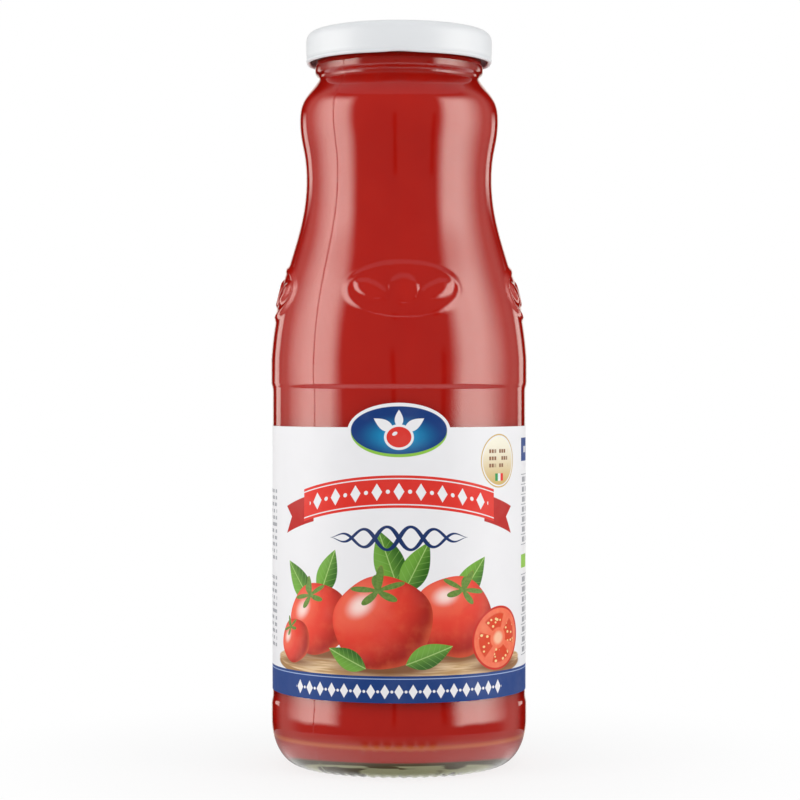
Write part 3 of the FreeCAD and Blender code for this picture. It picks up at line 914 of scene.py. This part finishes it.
# The arched red ribbon, with darker tails behind it and a row of white diamonds between two thin lines.
RIBBON_MIDDLE = 84.0
RIBBON_HALF_WIDTH = 31.0
RIBBON_HALF_HEIGHT = 4.7
RIBBON_LINE = 3.75
ARCH = 6.1 / 1296
TAIL_DROP = 1.6
above = minus(tree, up, RIBBON_MIDDLE)
arch = figure(tree, "MULTIPLY_ADD", figure(tree, "POWER", across, 2), ARCH, above)
off_arch = figure(tree, "ABSOLUTE", arch)
off_middle = figure(tree, "ABSOLUTE", across)
off_tail = figure(tree, "ABSOLUTE", figure(tree, "ADD", arch, TAIL_DROP))
notch = minus(tree, off_middle, times(tree, off_tail, 0.7))
tails = figure(tree, "MINIMUM", minus(tree, 37.0, notch), minus(tree, 4.0, off_tail))
ink(times(tree, sharp(tree, tails), ramp(tree, off_middle, 27.0, 27.1)), TAIL_RED)
ribbon = sharp(tree, figure(tree, "MINIMUM", minus(tree, RIBBON_HALF_HEIGHT, off_arch),
                            minus(tree, RIBBON_HALF_WIDTH, off_middle)))
ink(ribbon, BANNER_RED)
thin_line = sharp(tree, minus(tree, 0.16, off(tree, off_arch, RIBBON_LINE)))
ink(times(tree, ribbon, thin_line), PAPER_WHITE)
row = diamonds(across, 6.4, off_arch, 2.5, 0.6)
ink(times(tree, row, bar((-28.6, 70), (28.6, 95))), PAPER_WHITE)

# The blue twist under the ribbon: two strokes that cross and thin out to the sides.
TWIST_HALF_LENGTH = 21
TWIST_MIDDLE = 70.5
TWIST_SWING = 3.4
TWIST_PITCH = 14
fade = minus(tree, 1, figure(tree, "POWER", figure(tree, "DIVIDE", across, TWIST_HALF_LENGTH), 2))
fade = figure(tree, "MAXIMUM", fade, 0)
twist_room = bar((-TWIST_HALF_LENGTH, 60), (TWIST_HALF_LENGTH, 80))
for side in (-1, 1):
    swing = figure(tree, "SINE", times(tree, across, side * math.tau / TWIST_PITCH))
    line = figure(tree, "MULTIPLY_ADD", times(tree, swing, fade), TWIST_SWING, TWIST_MIDDLE)
    swell = figure(tree, "COSINE", times(tree, across, 2 * math.tau / TWIST_PITCH))
    half_stroke = times(tree, figure(tree, "MULTIPLY_ADD", times(tree, swell, fade), 0.4, 0.8), fade)
    stroke = sharp(tree, minus(tree, half_stroke, off(tree, up, line)))
    ink(times(tree, stroke, twist_room), DEEP_NAVY)

# The badge on the tab: a blue oval over a green one, with white leaves over a red fruit.
badge = oval((0, 101.7), (14.2, 6.9))
ink(oval((0, 101.1), (14.2, 7.2))["Mask"], LEAF_GREEN)
below_middle = vector(tree, "MULTIPLY_ADD", badge["Inside"], (1, 1, 0), (0, 0.25, 0))
glow = ramp(tree, vector(tree, "LENGTH", below_middle), 0.95, 0.0)
ink(badge["Mask"], blend(tree, glow, BADGE_NAVY, SKY_BLUE))
leaf((0, 105.0), (2.6, 1.2), math.pi / 2, PAPER_WHITE)
leaf((4.4, 103.3), (3.4, 1.5), 0.55, PAPER_WHITE)
leaf((-4.4, 103.3), (3.4, 1.5), math.pi - 0.55, PAPER_WHITE)
ink(oval((0, 99.7), (4.3, 3.7))["Mask"], PAPER_WHITE)
ink(oval((0, 99.7), (3.6, 3.0))["Mask"], BANNER_RED)
ink(oval((-1.2, 100.7), (0.8, 0.5), 0.5)["Mask"], PAPER_WHITE)

# The gold seal, with three lines of small print and three little bars of colour.
SEAL_MIDDLE = (33.4, 92.5)
ink(oval(SEAL_MIDDLE, (7.7, 7.9))["Mask"], GOLD)
ink(oval(SEAL_MIDDLE, (7.3, 7.5))["Mask"], PAPER_WHITE)
ink(oval(SEAL_MIDDLE, (6.9, 7.1))["Mask"], blend(tree, ramp(tree, up, 84, 99), GOLD, PALE_GOLD))
small_print((28.9, 90.1), (37.9, 96.4), 2.1, PRINT_BROWN)
for index, colour in enumerate((STRIPE_GREEN, PAPER_WHITE, STRIPE_RED)):
    ink(bar((31.6 + 1.25 * index, 86.6), (32.85 + 1.25 * index, 88.8)), colour)

# The panels at the sides and the back: headings, small print and a table.
small_print((-116, 88), (-60, 95.2), 3.6, DEEP_NAVY)
small_print((-116, 62), (-48, 84), 2.0, PRINT_GREY)
small_print((-116, 36), (-48, 58), 2.0, PRINT_GREY)
small_print((86, 36), (104, 90), 2.0, PRINT_GREY)
ink(bar((48, 92), (104, 99)), NAVY)
small_print((51, 93.7), (90, 97.3), 3.6, PAPER_WHITE)
ink(bar((48, 60), (56, 64)), LEAF_GREEN)
TABLE_FOOT = 34
TABLE_PITCH = 3
table = figure(tree, "MAXIMUM", bar((48, 33.8), (80, 58.2)), bar((48, 66.8), (80, 88.2)))
table_rows = figure(tree, "MULTIPLY_ADD", up, 1 / TABLE_PITCH, -TABLE_FOOT / TABLE_PITCH)
off_row = off(tree, figure(tree, "FRACT", table_rows), 0.5)
ink(times(tree, table, ramp(tree, off_row, 0.455, 0.475)), PRINT_GREY)
for low, high in (((49, 67), (64, 88)), ((49, 34), (64, 58)), ((70, 67), (78, 88)), ((70, 34), (78, 58))):
    small_print(low, high, TABLE_PITCH, PRINT_GREY)

# Paper shows faint cloudiness, and a coat that isn't quite even.
on_label = object_place(tree)
ink(times(tree, ramp(tree, noise(tree, on_label, 90, 3), 0.4, 0.8), 0.05), PAPER_SHADE)
wire(tree, printed, shader.inputs["Base Color"])
wire(tree, figure(tree, "MULTIPLY_ADD", noise(tree, on_label, 400), 0.16, 0.36), shader.inputs["Roughness"])
wire(tree, bump(tree, noise(tree, on_label, 2500, 2), 0.000012), shader.inputs["Normal"])

# ---------------------------------------------------------------------------------------------
# Stage
# A white floor and backdrop in even light, a tent of light for the glass to mirror, and a camera at the
# height of the middle of the bottle.

FLOOR_GLOW = 0.8

bpy.ops.object.select_all(action="DESELECT")
bpy.ops.mesh.primitive_plane_add(size=8, location=(0, 0, cad_box[0][2] - 0.00005))
floor = bpy.context.object
floor.name = "floor"
floor.visible_glossy = False

# Where the camera sees it, the floor turns white away from the bottle and keeps the shadow near it.
tree, shader = finish(floor, "white_floor")
shader.inputs["Base Color"].default_value = (0.9, 0.9, 0.9, 1)
shader.inputs["Roughness"].default_value = 1.0
shader.inputs["Specular IOR Level"].default_value = 0.0
glow = tree.nodes.new("ShaderNodeEmission")
light_path = tree.nodes.new("ShaderNodeLightPath").outputs
seen = figure(tree, "MAXIMUM", light_path["Is Camera Ray"], light_path["Is Transmission Ray"])
from_bottle = vector(tree, "LENGTH", object_place(tree))
whiten = figure(tree, "MULTIPLY_ADD", ramp(tree, from_bottle, 0.03, 0.16), 1 - FLOOR_GLOW, FLOOR_GLOW)
mix = tree.nodes.new("ShaderNodeMixShader")
wire(tree, times(tree, seen, whiten), mix.inputs["Fac"])
wire(tree, shader.outputs["BSDF"], mix.inputs[1])
wire(tree, glow.outputs["Emission"], mix.inputs[2])
wire(tree, mix.outputs["Shader"], tree.nodes["Material Output"].inputs["Surface"])

# The tent of light, which only reflections see: a dim front with two darker gaps, a tall soft box at each
# side with a spill behind it, a strip further back, and the white backdrop. Angles are in degrees from
# the front, and heights in metres.
TENT_RADIUS = 0.8
TENT_BOTTOM = -0.14
TENT_HEIGHT = 1.1
TENT_LIGHT = (1.0, 0.94, 0.86, 1)
DIM_FRONT = 0.26
DARK_GAPS = ((-8, -5, -4, -1), (36, 39, 41, 44))
SIDE_SPILL = 0.32
SOFT_BOXES = ((-1, (49, 66, 80, 122), 6.2), (1, (44, 60, 72, 116), 6.8))
RIM_BOX = 1.8

bpy.ops.object.select_all(action="DESELECT")
bpy.ops.mesh.primitive_cylinder_add(vertices=128, radius=TENT_RADIUS, depth=TENT_HEIGHT,
                                    end_fill_type="NOTHING", location=(0, 0, TENT_BOTTOM + TENT_HEIGHT / 2))
tent = bpy.context.object
tent.name = "light_tent"
bpy.ops.object.transform_apply(location=True, rotation=False, scale=False)
tent.visible_camera = False
tent.visible_diffuse = False
tent.visible_transmission = False
tent.visible_shadow = False
tent.visible_volume_scatter = False
tree, shader = finish(tent, "tent_light")


def between(tree, value, low, low_full, high_full, high):
    """1 from low_full to high_full, falling softly to 0 at low and high."""
    return times(tree, ramp(tree, value, low, low_full), ramp(tree, value, high, high_full))


def turn_from_front(tree, place):
    """The angle of a place or direction from the front, in degrees, above 0 on the right."""
    forward = vector(tree, "DOT_PRODUCT", place, (0, -1, 0))
    side = vector(tree, "DOT_PRODUCT", place, (1, 0, 0))
    return figure(tree, "DEGREES", figure(tree, "ARCTAN2", side, forward))


place = object_place(tree)
height = vector(tree, "DOT_PRODUCT", place, (0, 0, 1))
turn = turn_from_front(tree, place)
away = figure(tree, "ABSOLUTE", turn)
mirrored = times(tree, ramp(tree, away, 140, 115), DIM_FRONT)
for gap in DARK_GAPS:
    shade = times(tree, between(tree, turn, *gap), between(tree, height, -0.12, -0.05, 0.22, 0.30))
    mirrored = times(tree, mirrored, minus(tree, 1, shade))
mirrored = figure(tree, "MULTIPLY_ADD", between(tree, away, 95, 112, 122, 146), SIDE_SPILL, mirrored)
for side, edges, strength in SOFT_BOXES:
    soft_box = times(tree, between(tree, times(tree, turn, side), *edges),
                     between(tree, height, -0.10, -0.08, 0.50, 0.85))
    mirrored = figure(tree, "MULTIPLY_ADD", soft_box, strength, mirrored)
rim_box = times(tree, between(tree, away, 132, 137, 143, 149), between(tree, height, -0.03, 0.0, 0.24, 0.34))
mirrored = figure(tree, "MULTIPLY_ADD", rim_box, RIM_BOX, mirrored)
mirrored = figure(tree, "ADD", mirrored, ramp(tree, away, 158, 164))
glow = tree.nodes.new("ShaderNodeEmission")
glow.inputs["Color"].default_value = TENT_LIGHT
wire(tree, mirrored, glow.inputs["Strength"])
wire(tree, glow.outputs["Emission"], tree.nodes["Material Output"].inputs["Surface"])

# The world: white where it is seen straight or through glass, and even light elsewhere. Reflections see a
# dim ceiling, and a pale table that is brighter at the sides and near the bottle and dark under it.
AMBIENT = 0.56
TABLE_GLOW = 0.35
NEAR_TABLE_GLOW = 0.9
CEILING_GLOW = 0.3

world = bpy.data.worlds.new("studio")
bpy.context.scene.world = world
world.use_nodes = True
tree = world.node_tree
direction = tree.nodes.new("ShaderNodeTexCoord").outputs["Generated"]
away = figure(tree, "ABSOLUTE", turn_from_front(tree, direction))
table = figure(tree, "MULTIPLY_ADD", between(tree, away, 30, 60, 105, 135), TABLE_GLOW, TABLE_GLOW)
rise = vector(tree, "DOT_PRODUCT", direction, (0, 0, 1))
table = figure(tree, "MULTIPLY_ADD", ramp(tree, rise, -0.25, -0.45), NEAR_TABLE_GLOW, table)
table = times(tree, table, ramp(tree, rise, -1.0, -0.8))
ceiling = figure(tree, "MULTIPLY_ADD", ramp(tree, rise, 0.55, 0.75), CEILING_GLOW, DIM_FRONT)
below = ramp(tree, rise, 0.05, -0.05)
mirrored = figure(tree, "MULTIPLY_ADD", table, below, times(tree, ceiling, minus(tree, 1, below)))
light_path = tree.nodes.new("ShaderNodeLightPath").outputs
plain = figure(tree, "MAXIMUM", light_path["Is Camera Ray"], light_path["Is Transmission Ray"])
even = figure(tree, "MULTIPLY_ADD", plain, 1 - AMBIENT, AMBIENT)
glossy = times(tree, light_path["Is Glossy Ray"], minus(tree, 1, light_path["Is Transmission Ray"]))
strength = times(tree, even, minus(tree, 1, glossy))
background = tree.nodes["Background"]
background.inputs["Color"].default_value = (1, 1, 1, 1)
wire(tree, figure(tree, "MULTIPLY_ADD", mirrored, glossy, strength), background.inputs["Strength"])


def area_lamp(name, place, size, watts):
    """A soft lamp that isn't mirrored in the glass or seen through it."""
    bpy.ops.object.light_add(type="AREA", location=place)
    lamp = bpy.context.object
    lamp.name = name
    lamp.data.shape = "RECTANGLE"
    lamp.data.size = size[0]
    lamp.data.size_y = size[1]
    lamp.data.energy = watts
    lamp.visible_glossy = False
    lamp.visible_transmission = False
    return lamp


for side, name in ((-1, "left_lamp"), (1, "right_lamp")):
    lamp = area_lamp(name, (side * 0.95, -0.45, 0.35), (0.5, 0.9), 4.4)
    lamp.rotation_euler = (math.radians(80), 0, side * math.atan2(0.95, 0.45))
area_lamp("top_lamp", (0, 0.1, 1.2), (1.2, 1.2), 2.5)

bpy.ops.object.camera_add(location=(0.0003, -0.716, 0.113))
camera = bpy.context.object
camera.data.lens = 105.8
camera.data.sensor_width = 36
camera.data.clip_start = 0.05
camera.rotation_euler = (math.radians(90 - 0.22), 0, 0)
bpy.context.scene.camera = camera
bpy.context.scene.view_settings.view_transform = "Standard"
